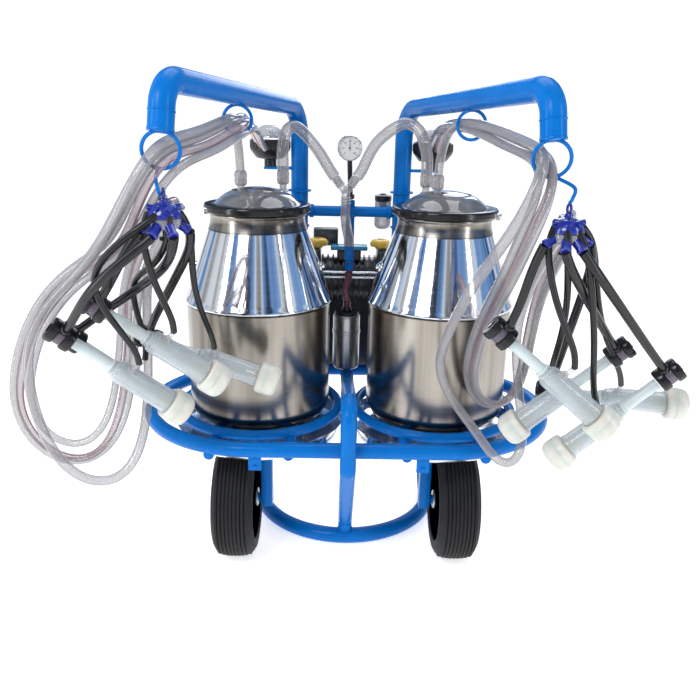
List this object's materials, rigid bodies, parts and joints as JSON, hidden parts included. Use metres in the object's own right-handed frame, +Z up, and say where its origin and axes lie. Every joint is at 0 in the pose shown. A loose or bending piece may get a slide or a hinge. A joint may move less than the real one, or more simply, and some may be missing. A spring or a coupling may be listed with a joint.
{
  "type": "milking machine",
  "caption": "Wheeled tube-frame milking machine with steel milk cans, a vacuum pump, pulsators, hanging clusters of teat cups and clear hoses.",
  "frame": {"origin": "on the floor, under the middle of the machine's box without its free hoses", "axes": "+Z up, -Y to the front, where the cans and the handle ends are, +X to the right seen from the front"},
  "size_m": [1.2566, 0.8226, 1.0175],
  "materials": {
    "blue_paint": "glossy enamel",
    "stainless": "polished",
    "galvanised": "zinc plated",
    "tyre_rubber": "matte, ribbed",
    "black_rubber": "semi-gloss",
    "black_plastic": "moulded",
    "clear_plastic": "clear",
    "clear_pvc": "clear hose",
    "milky_silicone": "translucent white",
    "claw_plastic": "moulded",
    "pump_black": "painted black",
    "oil_cap_yellow": "moulded"
  },
  "bodies": {
    "frame": {"axle": "galvanised", "can_left": "stainless", "can_right": "stainless", "centre_post": "blue_paint", "claw_left": "claw_plastic", "claw_right": "claw_plastic", "drip_pan_left": "stainless", "drip_pan_right": "stainless", "floor_loop": "blue_paint", "handle_left": "blue_paint", "handle_right": "blue_paint", "intake_cap_left": "oil_cap_yellow", "intake_cap_right": "oil_cap_yellow", "main_vacuum_hose": "clear_pvc", "milk_hose_left": "clear_pvc", "milk_hose_right": "clear_pvc", "moisture_trap": "clear_plastic", "platform_frame": "blue_paint", "pulsator_left": "black_plastic", "pulsator_right": "black_plastic", "pulse_hose_left": "clear_pvc", "pulse_hose_right": "clear_pvc", "pump_head_left": "pump_black", "pump_head_right": "pump_black", "pump_motor": "pump_black", "short_tube_left_1": "black_rubber", "short_tube_left_2": "black_rubber", "short_tube_left_3": "black_rubber", "short_tube_left_4": "black_rubber", "short_tube_right_1": "black_rubber", "short_tube_right_2": "black_rubber", "short_tube_right_3": "black_rubber", "short_tube_right_4": "black_rubber", "tank_hose": "black_rubber", "teat_cup_left_1": "milky_silicone", "teat_cup_left_2": "milky_silicone", "teat_cup_left_3": "milky_silicone", "teat_cup_left_4": "milky_silicone", "teat_cup_right_1": "milky_silicone", "teat_cup_right_2": "milky_silicone", "teat_cup_right_3": "milky_silicone", "teat_cup_right_4": "milky_silicone", "vacuum_gauge": "black_plastic", "vacuum_manifold": "blue_paint", "vacuum_tank": "galvanised", "y_piece": "clear_plastic"},
    "wheel_left": {"wheel_rim_left": "galvanised", "tyre_left": "tyre_rubber"},
    "lid_left": {"lid_left": "clear_plastic", "arch_hose_left": "clear_pvc"},
    "bail_left": {"can_bail_left": "stainless"},
    "claw_button_left": {"claw_button_left": "black_plastic"},
    "wheel_right": {"wheel_rim_right": "galvanised", "tyre_right": "tyre_rubber"},
    "lid_right": {"lid_right": "clear_plastic", "arch_hose_right": "clear_pvc"},
    "bail_right": {"can_bail_right": "stainless"},
    "claw_button_right": {"claw_button_right": "black_plastic"},
    "rotor": {"motor_rotor": "galvanised"},
    "needle": {"gauge_needle": "black_rubber"}
  },
  "joints": [
    {"name": "wheel_left_spin", "type": "hinge", "parent": "frame", "child": "wheel_left", "pos_m": [-0.312, -0.022, 0.13], "axis": [1, 0, 0], "continuous": true},
    {"name": "wheel_right_spin", "type": "hinge", "parent": "frame", "child": "wheel_right", "pos_m": [0.174, -0.022, 0.13], "axis": [1, 0, 0], "continuous": true},
    {"name": "lid_left_lift", "type": "slide", "parent": "frame", "child": "lid_left", "axis": [0, 0, 1], "range_m": [0, 0.05], "deforming": ["arch_hose_left", "milk_hose_left"]},
    {"name": "lid_right_lift", "type": "slide", "parent": "frame", "child": "lid_right", "axis": [0, 0, 1], "range_m": [0, 0.05], "deforming": ["arch_hose_right", "milk_hose_right"]},
    {"name": "bail_left_swing", "type": "hinge", "parent": "frame", "child": "bail_left", "pos_m": [-0.269, 0.083, 0.64], "axis": [1, 0, 0], "range_deg": [0, 35]},
    {"name": "bail_right_swing", "type": "hinge", "parent": "frame", "child": "bail_right", "pos_m": [0.131, 0.083, 0.64], "axis": [1, 0, 0], "range_deg": [0, 35]},
    {"name": "claw_button_left_pull", "type": "slide", "parent": "frame", "child": "claw_button_left", "axis": [0, 0, -1], "range_m": [0, 0.006]},
    {"name": "claw_button_right_pull", "type": "slide", "parent": "frame", "child": "claw_button_right", "axis": [0, 0, -1], "range_m": [0, 0.006]},
    {"name": "rotor_spin", "type": "hinge", "parent": "frame", "child": "rotor", "pos_m": [-0.069, 0.345, 0.56], "axis": [1, 0, 0], "continuous": true},
    {"name": "needle_sweep", "type": "hinge", "parent": "frame", "child": "needle", "pos_m": [-0.073, 0.259, 0.884], "axis": [0, 1, 0], "range_deg": [0, 270], "stiffness_Nm_per_rad": 0.00005}
  ]
}
